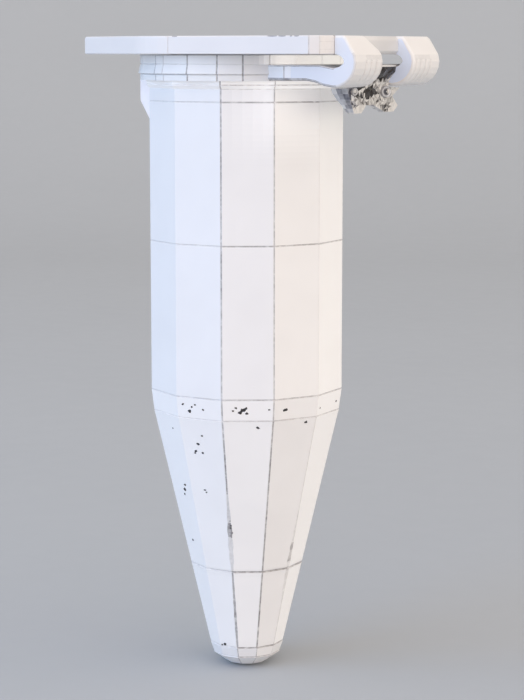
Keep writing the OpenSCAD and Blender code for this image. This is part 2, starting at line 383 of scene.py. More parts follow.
def shell(name, angles, outer, bore, material, edge_ink, row_share, streaks=()):
    """A tube piece. outer lists (z, width, line ink) from the top down, and bore the diameters at the foot
    and the top. Rows and corners with ink are drawn in."""
    rings = []
    for z, width, line in outer:
        corners = regular(width - (2 * GROOVE if line else 0), angles)
        dips = []
        for k, ink in enumerate(edge_ink):
            dips.append((GROOVE * (ink > 0), 0.9 + 0.5 * ink + streak_at(streaks, k, z)[0]))
        rings.append(edge_ring(corners, z, dips))
    for row, width in zip((outer[-1], outer[0]), bore):
        rings.append(round_ring(rings[0], width / 2, row[0]))

    def ink_of(j, i):
        if j >= len(outer) - 1:
            return 0.0
        row = max(outer[j][2], outer[j + 1][2]) * row_share[i // RING_STEP]
        corner = near_corner(i, len(angles))
        if corner is None:
            return row
        scuff = streak_at(streaks, corner, (outer[j][0] + outer[j + 1][0]) / 2)[1]
        return max(row, edge_ink[corner] if scuff is None else scuff)

    points, faces, ink = loft(rings, ink_of)
    return add_mesh(name, points, faces, material, ink)


def groove_rows(levels):
    """Turns (z, width, kind, ink) levels into rows: "line" is a groove, "start" and "end" bevel the piece's
    own edge, and "bend" is plain. Darker lines are wider too."""
    rows = []
    for z, width, kind, ink in levels:
        half = 0.025 + 0.03 * ink
        if kind in ("line", "end"):
            rows.append((z + half, width, 0.0))
        rows.append((z, width, 0.0 if kind == "bend" else ink))
        if kind in ("line", "start"):
            rows.append((z - half, width, 0.0))
    return rows


# ---------------- the tube

BODY_ANGLES = [15 + 30 * k for k in range(12)]
BARREL_D = 10.8
CONE_TOP_D = 10.52
CONE_FOOT_D = 4.2
NECK_D = 11.1
COLLAR_D = 11.5
FLARE_D = 11.7
BORE_D = 8.8
WELL_TOP_D = 8.7
WELL_R = 0.85
# heights of the level lines on the neck, the barrel and the cone
NECK_LINE = -0.21
BARREL_LINES = (-1.10, -8.61)
CONE_LINE = -26.74
NECK_FOOT = -0.43

# how dark each vertical edge is, starting at 15 degrees from +X and going round towards +Y
BARREL_INK = [0.3, 0.5, 0.6, 0.45, 0.5, 0.6, 0.4, 0.0, 0.0, 0.8, 0.6, 0.12]
CONE_INK = [0.5, 0.6, 0.5, 0.6, 0.5, 0.6, 0.4, 0.0, 0.0, 0.9, 0.9, 0.35]
# how much of each horizontal line shows on the side after each edge
ROW_SHARE = [0.6] * 7 + [0.35, 0.45, 1.0, 1.0, 0.8]


def tube_piece(name, levels, bore, node, edge_ink=BARREL_INK, streaks=()):
    """A twelve-sided wall between its levels outside and its bore."""
    piece = shell(name, BODY_ANGLES, groove_rows(levels), bore, TUBE_PLASTIC, edge_ink, ROW_SHARE, streaks)
    paint(piece, "painted_light", [wall_painted_light(face) for face in piece.data.polygons])
    settle(piece, "tube", "tube_plastic", node)


def wall_painted_light(face):
    """Painted light given off by the outer faces to lift the shade under the hinge, down the side below it,
    round the lower front and on the neck.
    """
    place = face.center / MM
    if place.x * face.normal.x + place.y * face.normal.y < 1:
        return 0.0
    step = 0.16 if place.z > NECK_FOOT else 0.0
    hinge = 0.24 * smooth_step(-4.8, -0.3, place.z) * smooth_step(1.0, 4.6, place.x)
    side = 0.11 * smooth_step(0.88, 0.95, face.normal.x)
    front = 0.06 * smooth_step(0.5, 0.85, -face.normal.y) if place.z < -17 else 0.0
    shared = 0.6 if side > 0 else 1
    return step + hinge * shared + side + front


def width_between(z, low, high):
    """Width of a taper at height z, between (z, width) at its two ends."""
    share = (z - low[0]) / (high[0] - low[0])
    return low[1] + (high[1] - low[1]) * share


def make_barrel():
    low, high = span("barrel", 2)
    levels = [(high, BARREL_D, "start", 0.2), (low, BARREL_D, "end", 0.6)]
    levels += [(z, BARREL_D, "line", 0.6) for z in BARREL_LINES]
    # the painted light under the hinge fades over these rows
    levels += [(-1.3 - 0.3 * k, BARREL_D, "bend", 0.0) for k in range(14)]
    levels.sort(reverse=True)
    tube_piece("barrel_wall", levels, (BORE_D, BORE_D), "barrel")


def make_band():
    low, high = span("taper_band", 2)
    levels = [(high, BARREL_D, "start", 0.6), (low, CONE_TOP_D, "end", 0.5)]
    tube_piece("taper_band_wall", levels, (WELL_TOP_D, BORE_D), "taper_band")


# the scuffs down two of the cone's edges: corner, height from and to, height of the dark core, extra width
STREAKS = [
    (9, -26.7, -22.2, (-24.6, -23.7), 3.4), (9, -31.3, -26.8, (-31.3, -26.8), 0.9),
    (11, -28.7, -23.4, (-26.4, -25.2), 3.2)
]


def make_cone():
    low, high = span("cone", 2)
    ends = (low, CONE_FOOT_D), (high, CONE_TOP_D)
    levels = [(high, CONE_TOP_D, "start", 0.5), (CONE_LINE, width_between(CONE_LINE, *ends), "line", 1.0)]
    count = 48
    for k in range(1, count):
        z = high - k * (high - low) / count
        if abs(z - CONE_LINE) > 0.1:
            levels.append((z, width_between(z, *ends), "bend", 0.0))
    levels.append((low, CONE_FOOT_D, "end", 0.75))
    levels.sort(reverse=True)
    tube_piece("cone_wall", levels, (2 * WELL_R, WELL_TOP_D), "cone", CONE_INK, STREAKS)


def make_tip():
    """The blunt tip: its outside down to the flat foot, and the hollow's round end above that."""
    low, high = span("tip", 2)
    rows = groove_rows([
        (high, CONE_FOOT_D, "start", 0.75), (high - 0.6, 0.91 * CONE_FOOT_D, "line", 0.6),
        (high - 1.18, 0.57 * CONE_FOOT_D, "bend", 0.0), (low, 0.24 * CONE_FOOT_D, "bend", 0.0)
    ])
    outside = []
    for z, width, line in rows:
        corners = regular(width - (2 * GROOVE if line else 0), BODY_ANGLES)
        outside.append(edge_ring(corners, z, [(GROOVE if ink else 0.0, 0.8) for ink in CONE_INK]))
    steps = 9
    well = []
    for k in range(steps):
        across, down = turned(90 * (steps - 1 - k) / steps)
        well.append(round_ring(outside[0], WELL_R * across, high - WELL_R * down))

    def ink_of(j, i):
        k = j - steps
        if k < 0:
            return 0.0
        row = max(rows[k][2], rows[k + 1][2]) * ROW_SHARE[i // RING_STEP]
        corner = near_corner(i, len(BODY_ANGLES))
        return row if corner is None or k > len(rows) - 3 else max(row, 0.7 * CONE_INK[corner])

    points, faces, ink = loft(well + outside, ink_of, closed=False)
    piece = add_mesh("tip_end", points, faces, TUBE_PLASTIC, ink)
    settle(piece, "tube", "tube_plastic", "tip")


# the collar's edges are uneven: close together at the front left and wider round the back
COLLAR_ANGLES = [15 * k for k in range(16)] + [243, 250, 267, 284, 297.5, 311.5, 326, 343]
COLLAR_INK = [
    0.3, 0.3, 0.3, 0.4, 0.4, 0.3, 0.4, 0.3, 0.4, 0.3, 0.3, 0.4, 0.3, 0.4, 0.3, 0.2,
    0.65, 0.4, 0.8, 0.75, 0.75, 0.5, 0.2, 0.3
]
COLLAR_ROW_SHARE = [1.0] * 18 + [0.5] * 6


def slot_painted_light(face):
    """Painted light given off by the rim's outer faces in the slots beside the hinge, lifting the shade
    there.
    """
    place = face.center / MM
    outside = place.x * face.normal.x + place.y * face.normal.y > 2
    return 0.55 * smooth_step(3.1, 4.4, place.x) if outside and place.z > 0.85 else 0.0


def make_collar():
    """The neck, and the three rings above it with 24 uneven sides."""
    low, high = span("neck_ring", 2)
    levels = [(high, NECK_D, "bend", 0.0), (NECK_LINE, NECK_D, "line", 0.45), (low, BARREL_D, "end", 0.4)]
    tube_piece("neck_wall", levels, (BORE_D, BORE_D), "neck_ring")
    # piece, node, bore, then width and ink at the top and at the foot
    rings = (
        ("seat_ring_wall", "seat_ring", NECK_D, (COLLAR_D, 0.3), (COLLAR_D, 0.0)),
        ("flare_wall", "flare_ring", BORE_D, (COLLAR_D, 0.15), (FLARE_D, 0.4)),
        ("rim_wall", "rim", BORE_D, (COLLAR_D, 0.5), (COLLAR_D, 0.22))
    )
    for name, node, bore, top, foot in rings:
        low, high = span(node, 2)
        rows = groove_rows([(high, top[0], "start", top[1]), (low, foot[0], "end", foot[1])])
        piece = shell(name, COLLAR_ANGLES, rows, (bore, bore), COLLAR_PLASTIC, COLLAR_INK, COLLAR_ROW_SHARE)
        paint(piece, "painted_light", [slot_painted_light(face) for face in piece.data.polygons])
        settle(piece, "tube", "collar_plastic", node)


def prism(name, outline, half, material, bevel):
    """A shape drawn in X and Z, with rounded edges, as wide as half on both sides of the middle plane."""
    work = bmesh.new()
    low = [work.verts.new(Vector((x, -half, z)) * MM) for x, z in outline]
    high = [work.verts.new(Vector((x, half, z)) * MM) for x, z in outline]
    work.faces.new(low)
    work.faces.new(list(reversed(high)))
    for i in range(len(outline)):
        k = (i + 1) % len(outline)
        work.faces.new((low[i], high[i], high[k], low[k]))
    bmesh.ops.recalc_face_normals(work, faces=work.faces[:])
    bmesh.ops.bevel(work, geom=work.edges[:], offset=bevel * MM, segments=2, affect="EDGES", profile=0.5)
    mesh = bpy.data.meshes.new(name)
    work.to_mesh(mesh)
    work.free()
    return finish_mesh(name, mesh, material, 35)


RIB_X, RIB_ROOT = -5.77, -4.95
RIB_TOP, RIB_DROP, RIB_FOOT = 0.34, -1.15, -2.557
RIB_HALF = 1.65


def make_rib():
    """The rib wraps the barrel's front: its inner side lies inside the wall."""
    outline = [(RIB_X, RIB_TOP), (RIB_X, RIB_DROP), (RIB_ROOT, RIB_FOOT), (RIB_ROOT, RIB_TOP)]
    bar = prism("front_rib_bar", outline, RIB_HALF, LIT_RIB_PLASTIC, 0.05)
    # the rib gives off a little painted light, lifting the shade under the lid's tab
    paint(bar, "painted_light", [0.07] * len(bar.data.polygons))
    settle(bar, "tube", "tube_plastic", "front_rib")


# grit on the taper band and the cone: facet start angle, share across the facet, z, and size
GRAINS = [
    (255, 0.13, -17.2, 0.07), (255, 0.27, -17.56, 0.1), (255, 0.4, -17.19, 0.05), (255, 0.33, -17.32, 0.05),
    (255, 0.58, -17.43, 0.06), (285, 0.27, -17.22, 0.07), (285, 0.35, -17.5, 0.09),
    (285, 0.41, -17.33, 0.11), (285, 0.46, -17.24, 0.07), (285, 0.48, -17.52, 0.08),
    (285, 0.21, -17.38, 0.05), (285, 0.91, -17.33, 0.05), (315, 0.26, -17.4, 0.11),
    (345, 0.13, -17.54, 0.06), (345, 0.82, -17.45, 0.06), (285, 0.7, -18.34, 0.08),
    (315, 0.77, -18.21, 0.08), (255, 0.49, -18.91, 0.06), (255, 0.37, -19.4, 0.09),
    (255, 0.29, -19.82, 0.08), (255, 0.26, -19.94, 0.05), (255, 0.46, -19.89, 0.06),
    (225, 0.68, -21.98, 0.09), (225, 0.63, -22.23, 0.11), (225, 0.57, -22.55, 0.07),
    (255, 0.38, -22.04, 0.06), (255, 0.41, -22.17, 0.05), (225, 0.46, -25.27, 0.08),
    (225, 0.66, -18.73, 0.05), (255, 0.28, -31.24, 0.08), (255, 0.1, -31.3, 0.05), (45, 0.3, -17.3, 0.08),
    (75, 0.6, -19.2, 0.07), (135, 0.5, -17.5, 0.09), (165, 0.35, -21.0, 0.06), (285, 0.03, -23.7, 0.03),
    (285, 0.05, -23.98, 0.05), (285, 0.03, -24.12, 0.04), (285, 0.07, -24.4, 0.04),
    (285, 0.05, -24.66, 0.025), (285, 0.37, -17.42, 0.08)
]
# how much the band and the cone lean inwards
BAND_SLOPE, CONE_SLOPE = 0.12, 0.235


def wall_point(angle, share, z):
    """A point on the tube's outer wall and the way the wall faces there."""
    band, cone = span("taper_band", 2), span("cone", 2)
    if z > cone[1]:
        ends, slope = ((band[0], CONE_TOP_D), (band[1], BARREL_D)), BAND_SLOPE
    else:
        ends, slope = ((cone[0], CONE_FOOT_D), (cone[1], CONE_TOP_D)), CONE_SLOPE
    a, b = regular(width_between(z, *ends), (angle, angle + 30))
    return a.lerp(b, share), Vector((*turned(angle + 15), -slope)).normalized()


def make_grains():
    """Small uneven grains, each a low dome half sunk in the wall."""
    chance = random.Random(7)
    points, faces = [], []
    for angle, share, z, size in GRAINS:
        place, out = wall_point(angle, share, z)
        centre = Vector((*place, z))
        across = out.cross(Vector((0, 0, 1))).normalized()
        up = across.cross(out)
        rings = []
        for depth, scale in ((-0.02, 1.0), (0.006, 0.95), (0.014, 0.5)):
            ring = []
            for cosine, sine in circle(9):
                reach = 1.4 * size * scale * chance.uniform(0.5, 1.15)
                ring.append(centre + out * depth + across * (reach * cosine) + up * (0.8 * reach * sine))
            rings.append(ring)
        add_block(points, faces, rings)
    grains = add_mesh("grit_grains", points, faces, GRIT, smooth_angle=50)
    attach(grains, "tube")


# ---------------- the lid

LID_Z, LID_TOP = 1.38, 2.32
LID_HALF, LID_REAR = 6.25, 8.0
# where the plate meets the tab, where the tab's sides turn in, and the tab's tip
SEAM_X = -1.15
KNEE_X = -2.688
TIP_X, TIP_HALF = -8.56, 2.86


def inset(corners, distances):
    """A convex polygon with each side moved inwards. Side i runs from corner i to the next one."""
    moved = []
    for i, corner in enumerate(corners):
        after = (corners[(i + 1) % len(corners)] - corner).normalized()
        before = (corner - corners[i - 1]).normalized()
        cross = before.x * after.y - before.y * after.x
        moved.append(corner + (after * distances[i - 1] - before * distances[i]) / cross)
    return moved


def slab(name, corners, levels, corner_ink, lines=()):
    """A flat plate. levels lists (z, how far each side is drawn in) from the top down, corners with ink have
    a thin groove, and lines lists (row, side, ink) for faint lines across a side."""
    corners = [Vector(c) for c in corners]
    dips = [(GROOVE if mark else 0.0, 0.7 + 1.6 * mark ** 2) for mark in corner_ink]
    rings = [edge_ring(inset(corners, distances), z, dips) for z, distances in levels]

    def ink_of(j, i):
        for row, side, ink in lines:
            if row == j and i // RING_STEP == side:
                return ink
        corner = near_corner(i, len(corners))
        return corner_ink[corner] if corner is not None else 0.0

    points, faces, ink = loft(rings, ink_of, closed=False, cap_start=True, cap_end=True)
    return add_mesh(name, points, faces, LID_PLASTIC, ink, smooth_angle=20)


def make_plate():
    """The lid's plate, with faint level lines on its near side and at its rear corner."""
    rear = [(LID_REAR, 5.2), (7.55, 5.98), (7.07, LID_HALF), (SEAM_X, LID_HALF)]
    plate = [(LID_REAR, -5.2)] + rear + [(x, -y) for x, y in reversed(rear[1:])]
    flat, edge = [0.0] * 8, [0.04] * 8
    levels = [(LID_TOP, edge), (LID_TOP - 0.04, flat)]
    levels += [(z, flat) for z in (2.03, 2.0, 1.65, 1.62)]
    levels += [(LID_Z + 0.04, flat), (LID_Z, edge)]
    lines = [(2, 7, 0.22), (4, 7, 0.22), (2, 2, 0.2), (1, 7, 0.08), (3, 7, 0.08), (5, 7, 0.08)]
    ink = [1.0, 0.6, 0.3, 0.2, 0.14, 0.14, 0.35, 0.3]
    settle(slab("lid_plate_top", plate, levels, ink, lines), "lid", "lid_plastic", "lid_plate")


def knee_curve():
    """The round bend in the tab's side, from before the knee to after it."""
    before, knee = Vector((KNEE_X + 1.3, LID_HALF)), Vector((KNEE_X, LID_HALF))
    after = Vector((KNEE_X - 1.126, 5.6))
    return [before.lerp(knee, t).lerp(knee.lerp(after, t), t) for t in (0, 0.17, 0.33, 0.5, 0.67, 0.83, 1)]


def make_tab():
    """The thumb tab, with its tip's upper edge rounded more than the rest."""
    curve = knee_curve()
    tab = [(SEAM_X, -LID_HALF), (SEAM_X, LID_HALF)] + [tuple(p) for p in curve]
    tip_side = len(tab)
    tab += [(TIP_X, TIP_HALF), (TIP_X, -TIP_HALF)] + [(p.x, -p.y) for p in reversed(curve)]
    count = len(tab)

    def sides(other, tip):
        return [tip if k == tip_side else other for k in range(count)]

    levels = [
        (LID_TOP, sides(0.04, 0.15)), (LID_TOP - 0.03, sides(0.01, 0.08)), (LID_TOP - 0.08, sides(0, 0.03)),
        (LID_TOP - 0.15, sides(0, 0)), (LID_Z + 0.04, sides(0, 0)), (LID_Z, sides(0.04, 0.04))
    ]
    ink = [0.14, 0.14] + [0.0] * (count - 2)
    settle(slab("lid_tab_plate", tab, levels, ink), "lid", "lid_plastic", "lid_tab")


def make_nicks():
    """Short grey nicks along the lid's upper edges."""
    nicks = [(4.72, 5.25, -1), (5.35, 5.75, -1), (6.0, 6.12, -1), (6.25, 6.5, -1), (-0.9, -0.6, -1)]
    nicks += [(2.1, 2.6, 1), (5.0, 5.6, 1), (-1.0, -0.3, 1)]
    points, faces = [], []
    for x0, x1, side in nicks:
        rings = []
        for x, deep in ((x0, 0.0), ((x0 + x1) / 2, 0.02), (x1, 0.0)):
            corners = ((6.2, 0.03), (6.254, 0.04 + deep), (6.254, 0.03), (6.215, 0.001))
            rings.append([(x, side * y, LID_TOP - down) for y, down in corners])
        add_block(points, faces, rings, flip=side > 0)
    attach(add_mesh("lid_edge_nicks", points, faces, NICK_PLASTIC, smooth_angle=50), "lid")


def lathe(name, profile, material):
    """A round piece from its closed (radius, z) profile."""
    rings = [[(radius * cosine, radius * sine, z) for cosine, sine in circle(96)] for radius, z in profile]
    points, faces, ink = loft(rings, plain)
    return add_mesh(name, points, faces, material, ink, smooth_angle=30)


PLUG_R, PLUG_BORE_R = 4.1, 3.3


def make_plug():
    """The plug's skirt and the round bead that seals it in the bore."""
    low = span("lid_plug", 2)[0]
    profile = [
        (PLUG_BORE_R, LID_Z), (PLUG_R, LID_Z), (PLUG_R, low + 0.3), (4.05, low + 0.12), (3.9, low),
        (3.6, low), (3.52, low + 0.06), (PLUG_BORE_R, LID_Z - 0.6)
    ]
    settle(lathe("plug_skirt", profile, PLUG_PLASTIC), "lid", "plug_plastic", "lid_plug")
    low, high = span("seal_bead", 2)
    middle = (low + high) / 2
    root = PLUG_R - 0.03
    bead = [(root, high)]
    for turn in range(80, -81, -20):
        cosine, sine = turned(turn)
        bead.append((PLUG_R + 0.25 * cosine, middle + 0.38 * sine))
    bead.append((root, low))
    settle(lathe("seal_bead_ring", bead, PLUG_PLASTIC), "lid", "plug_plastic", "seal_bead")


def make_bridge():
    """The bar reaches in behind both straps' upper ends. The near one's inner corner is cut away there."""
    outline = [(7.97, LID_Z), (8.12, LID_Z), (8.26, 1.54), (8.26, 2.1), (8.08, LID_TOP), (7.97, LID_TOP)]
    # the bar is painted darker than the lid: painted shade behind the straps
    settle(prism("rear_bridge_bar", outline, 2.8, SHADED_BRIDGE_PLASTIC, 0.03), "lid", "lid_plastic", "rear_bridge")


# ---------------- the straps

STRAP_IN, STRAP_OUT = 1.8, 5.2
ARM_Z, ARM_TOP = 0.05, 0.84
# the loop's middle, and its outer and inner lines seen from the side
LOOP = Vector((7.9, 1.0))
LOOP_R = 1.3
LOOP_OUTER = [(7.35, -0.21)]
LOOP_OUTER += [(LOOP.x + LOOP_R * turned(a)[0], LOOP.y + LOOP_R * turned(a)[1]) for a in range(-90, 1, 15)]
LOOP_OUTER += [(9.13, 1.36), (8.6, 2.212), (8.45, LID_TOP), (LID_REAR, LID_TOP)]
LOOP_INNER = [
    (7.33, 0.8), (7.55, 0.76), (7.9, 0.69), (8.25, 0.77), (8.48, 0.95), (8.48, 1.12), (8.3, 1.28),
    (8.05, LID_Z), (LID_REAR, LID_Z)
]
# outer and inner points of the arm's sections, from the collar outwards
ARM_START = 5.5
ARM_SECTIONS = [((x, ARM_Z), (x, ARM_TOP)) for x in (ARM_START, 5.9, 6.35)]
ARM_SECTIONS += [
    ((6.65, -0.005), (6.6, ARM_TOP)), ((6.9, -0.05), (6.85, ARM_TOP)), ((7.13, -0.13), (7.1, ARM_TOP)),
    ((7.35, -0.21), (7.33, 0.80)), ((7.62, -0.255), (7.6, 0.75))
]
# directions of the loop's sections from its middle, and the two at which the strap is cut
LOOP_TURNS = [7.5 * k for k in range(-12, 1)] + [5, 16.3, 23, 30, 38, 45, 52.5, 60, 67.38]
CUT_LOW, CUT_HIGH = -30, 30


def hit(line, turn):
    """Where the ray from the loop's centre in that direction meets a line of points."""
    direction = Vector(turned(turn))
    for a, b in zip(line, line[1:]):
        a, b = Vector(a) - LOOP, Vector(b) - LOOP
        side = b - a
        bottom = direction.x * side.y - direction.y * side.x
        if abs(bottom) < 1e-9:
            continue
        reach = (a.x * side.y - a.y * side.x) / bottom
        share = (a.x * direction.y - a.y * direction.x) / bottom
        if reach > 0 and -1e-4 <= share <= 1 + 1e-4:
            return LOOP + direction * reach
    raise ValueError(f"no crossing at {turn}")


def strap_sections():
    """(outer point, inner point, turn) along the strap. turn is None on the arm."""
    sections = [(Vector(a), Vector(b), None) for a, b in ARM_SECTIONS]
    sections += [(hit(LOOP_OUTER, turn), hit(LOOP_INNER, turn), turn) for turn in LOOP_TURNS]
    sections.append((Vector((LID_REAR, LID_TOP)), Vector((LID_REAR, LID_Z)), 86.0))
    return sections


FLUTES = [2.15, 2.75, 3.35, 3.95]
FLUTE_HALF = 0.17
FLUTE_DEPTH = 0.09
# the last turn with flutes, and the one under which the arm lies flat
FLUTE_END, FLAT_TURN = 5, -84
OUTER_R = 0.14
# the near strap's inner edge is worn round and its upper inner corner is cut away; the far one is crisp
INNER_R = {1: 0.16, -1: 0.40}
CORNER_CUT = {1: 0.0, -1: 0.9}
WORN_EDGE = 0.035
INNER_BEVEL = WORN_EDGE + 0.05
# painted blue light on the strap's sides, and how much painted light they give off
INNER_SIDE, BAND_SIDE, ROOT_SIDE = (1.0, 0.11), (0.45, 0.015), (0.1, 0.045)


def strap_columns(side):
    """Distances from the middle plane at which the strap has points, and the flute share of each."""
    columns = {}
    for k in range(9):
        columns[STRAP_IN + INNER_R[side] * (1 - math.cos(math.pi / 2 * k / 8))] = 0.0
    for k in range(5):
        columns[STRAP_OUT - OUTER_R * (1 - math.cos(math.pi / 2 * k / 4))] = 0.0
    for centre in FLUTES:
        for k in range(-4, 5):
            columns[centre + FLUTE_HALF * k / 4] = math.cos(math.pi / 2 * k / 4) ** 2
    for y in (4.3, 4.5, 4.7, 4.9):
        columns[y] = 0.0
    return sorted(columns.items())


COLUMNS = {side: strap_columns(side) for side in (1, -1)}


def edge_dip(y, side):
    """How far the rounded edges draw the outer face in."""
    for radius, depth in ((INNER_R[side], y - STRAP_IN), (OUTER_R, STRAP_OUT - y)):
        if depth < radius:
            return radius - math.sqrt(radius ** 2 - (radius - depth) ** 2)
    return 0.0


def strap_ring(outer, inner, turn, side, fluted, narrow=0.0):
    """A strap's cross-section: along the outer face, up the outer side, back along the inner face."""
    inward = (inner - outer).normalized()
    shoulder = CORNER_CUT[side] * smooth_step(20, 70, turn) / (STRAP_OUT - STRAP_IN)
    outer_side = side * (STRAP_OUT - narrow)
    ring = []
    for y, share in COLUMNS[side]:
        place = outer + inward * (edge_dip(y, side) + FLUTE_DEPTH * share * fluted)
        across = side * (STRAP_OUT - (STRAP_OUT - y) * (1 - shoulder))
        ring.append((place.x, outer_side if y == STRAP_OUT else across, place.y))
    place = inner - inward * INNER_BEVEL
    ring.append((place.x, outer_side, place.y))
    for y, _ in reversed(COLUMNS[side]):
        place = inner - inward * min(edge_dip(y, side) * 0.25, WORN_EDGE)
        ring.append((place.x, outer_side if y == STRAP_OUT else side * y, place.y))
    return ring


def flute_share(turn):
    """How deep the flutes are: they fade in from below and stop short at the widest point."""
    return smooth_step(-66, -50, turn) if turn < FLUTE_END else 0.0


def strap_mesh(name, side, rings, ink_of, outer):
    """Closes the rings with strips of quads at both ends. outer is its outer side's (painted blue light,
    painted light given off).
    """
    points, faces, ink = loft(rings, ink_of, closed=False)
    size = len(rings[0])
    columns = len(COLUMNS[side])
    cool, painted_light = [0.0] * len(faces), [0.0] * len(faces)
    for k in range(len(faces)):
        if k % size == size - 1:
            cool[k], painted_light[k] = INNER_SIDE
        elif k % size in (columns - 1, columns):
            cool[k], painted_light[k] = outer
    for base, flipped in ((0, False), ((len(rings) - 1) * size, True)):
        last, middle = base + size - 1, size // 2
        ends = [(base + i, base + i + 1, last - 1 - i, last - i) for i in range(middle - 1)]
        ends.append((base + middle - 1, base + middle, base + middle + 1))
        for end in ends:
            faces.append(tuple(reversed(end)) if flipped else end)
            for values in (ink, cool, painted_light):
                values.append(0.0)
    if side > 0:
        faces = [tuple(reversed(f)) for f in faces]
    band = add_mesh(name, points, faces, STRAP_PLASTIC, ink, smooth_angle=14)
    paint(band, "cool", cool)
    paint(band, "painted_light", painted_light)
    return band


def strap_piece(name, side, first, last):
    """The strap between two of its sections."""
    sections = strap_sections()[first:last + 1]
    turns = [-90 if turn is None else turn for _, _, turn in sections]
    rings = []
    for (outer, inner, _), turn in zip(sections, turns):
        rings.append(strap_ring(outer, inner, turn, side, flute_share(turn)))
    columns = COLUMNS[side]

    def ink_of(j, i):
        flat = turns[j] < FLAT_TURN
        if i == len(columns) and flat:
            return 0.6
        if i >= len(columns) - 1:
            return 0.0
        if columns[i][0] > STRAP_OUT - OUTER_R and turns[j] < 20:
            return 0.8 if flat else 0.25
        if turns[j] == FLUTE_END and FLUTES[0] - FLUTE_HALF < columns[i][0] < FLUTES[3]:
            return 0.16
        share = (columns[i][1] + columns[i + 1][1]) / 2
        return 0.3 * share * min(flute_share(turns[j]), flute_share(turns[j + 1]))

    return strap_mesh(name, side, rings, ink_of, BAND_SIDE)


# the arm starts inside the collar on an arc, between the directions of two points, and widens up to ROOT_X
ROOT_R, ROOT_X = 5.3, 5.08
ROOT_TURNS = math.atan2(1.8, 4.985), math.atan2(4.108, 3.326)


def root_rows(columns):
    """Where the arm's columns run from the collar out to its full width."""
    first, last = ROOT_TURNS
    rows = []
    for share in (0, 0.25, 0.5, 0.75, 1.0):
        row = []
        for y, _ in columns:
            turn = first + (y - STRAP_IN) / (STRAP_OUT - STRAP_IN) * (last - first)
            start = Vector((ROOT_R * math.cos(turn), ROOT_R * math.sin(turn)))
            row.append(start.lerp(Vector((ROOT_X, y)), share))
        rows.append(row)
    return rows


def root_piece(name, side):
    """The arm from the collar to the strap's first section, with a dark nick down its outer side."""
    columns = COLUMNS[side]
    rings = []
    for row in root_rows(columns):
        dips = [edge_dip(y, side) for y, _ in columns]
        ring = [(p.x, side * p.y, ARM_Z + dip) for p, dip in zip(row, dips)]
        ring.append((row[-1].x, side * row[-1].y, ARM_TOP - INNER_BEVEL))
        for p, dip in zip(reversed(row), reversed(dips)):
            ring.append((p.x, side * p.y, ARM_TOP - min(dip * 0.25, WORN_EDGE)))
        rings.append(ring)
    nick = len(rings) - 1
    for x, narrow in ((ROOT_X + 0.03, 0.03), (ROOT_X + 0.06, 0.0), (ARM_START, 0.0)):
        rings.append(strap_ring(Vector((x, ARM_Z)), Vector((x, ARM_TOP)), -90, side, 0.0, narrow))
    outer_side = len(columns) - 1

    def ink_of(j, i):
        if i == outer_side and nick <= j < nick + 2 or i == outer_side + 1:
            return 0.6
        return 0.8 if outer_side - 4 <= i < outer_side else 0.0

    return strap_mesh(name, side, rings, ink_of, ROOT_SIDE)


def make_strap(side, word):
    """One strap: the root arm and three bands, cut apart at two hinge lines."""
    turns = [section[2] for section in strap_sections()]
    cut_low, cut_high = turns.index(CUT_LOW), turns.index(CUT_HIGH)
    lower = strap_piece(f"strap_lower_{word}_band", side, 0, cut_low)
    middle = strap_piece(f"strap_middle_{word}_band", side, cut_low, cut_high)
    upper = strap_piece(f"strap_upper_{word}_band", side, cut_high, len(turns) - 1)
    root = root_piece(f"strap_root_{word}_arm", side)

    def at(turn):
        place = hit(LOOP_OUTER, turn)
        return place.x * MM, side * (STRAP_IN + STRAP_OUT) / 2 * MM, place.y * MM

    at(-88)
    at(-34)
    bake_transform(lower)
    at(-26)
    at(26)
    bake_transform(middle)
    at(34)
    at(66)
    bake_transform(upper)
    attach(root, "tube")
    for piece, node in ((root, "root"), (lower, "lower"), (middle, "upper"), (upper, "end")):
        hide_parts(f"strap_{node}_{word}")


# ---------------- the latch

LATCH_X, LATCH_BACK = 7.76, 7.4
# size and depth of the latch's facets
FACET, RELIEF = 0.2, 0.09
# painted reflections and highlights on the clear latch: y, z, reach in y and z, darkness, and how blue
PAINTED_TONES = [
    (-4.1, -0.45, 0.3, 0.16, 0.1, 0.0), (-3.45, -1.02, 0.25, 0.16, 0.15, 0.1),
    (-2.7, -1.5, 0.35, 0.14, 0.1, 0.0), (-3.3, -0.62, 0.4, 0.2, 0.8, 0.6),
    (-2.85, -1.0, 0.3, 0.2, 0.7, 0.5), (-2.45, -0.85, 0.2, 0.12, 0.1, 0.3),
    (-2.3, -1.2, 0.25, 0.14, 0.5, 0.3), (-1.9, -1.48, 0.6, 0.16, 0.05, 0.0),
    (-1.7, -1.0, 0.4, 0.14, 0.42, 0.0), (-0.6, -0.6, 1.1, 0.28, 1.0, 0.0),
    (-0.1, -0.68, 0.5, 0.22, 0.9, 0.0), (-0.4, -0.16, 1.2, 0.12, 0.3, 0.0),
    (-1.3, -0.72, 0.4, 0.14, 0.8, 0.1), (-0.5, -1.0, 0.5, 0.1, 0.2, 0.0),
    (0.45, -0.4, 0.35, 0.25, 0.25, 0.0), (0.5, -0.85, 0.3, 0.2, 0.45, 0.0),
    (1.2, -0.12, 1.0, 0.14, 0.15, 0.0), (1.4, -0.6, 0.5, 0.22, 0.45, 0.2),
    (2.4, -0.6, 0.4, 0.14, 0.05, 0.0), (1.5, -1.05, 0.5, 0.14, 0.48, 0.0),
    (1.35, -1.33, 0.35, 0.14, 0.7, 0.0), (2.5, -1.38, 0.4, 0.2, 0.05, 0.0),
    (0.9, -1.25, 0.3, 0.14, 0.25, 0.0), (-0.4, 0.35, 1.8, 0.35, 1.0, 0.0), (1.4, 0.5, 0.6, 0.3, 1.0, 0.0),
    (1.75, 0.22, 0.12, 0.14, 0.0, 0.4), (2.2, 0.3, 0.3, 0.15, 0.4, 0.9)
]
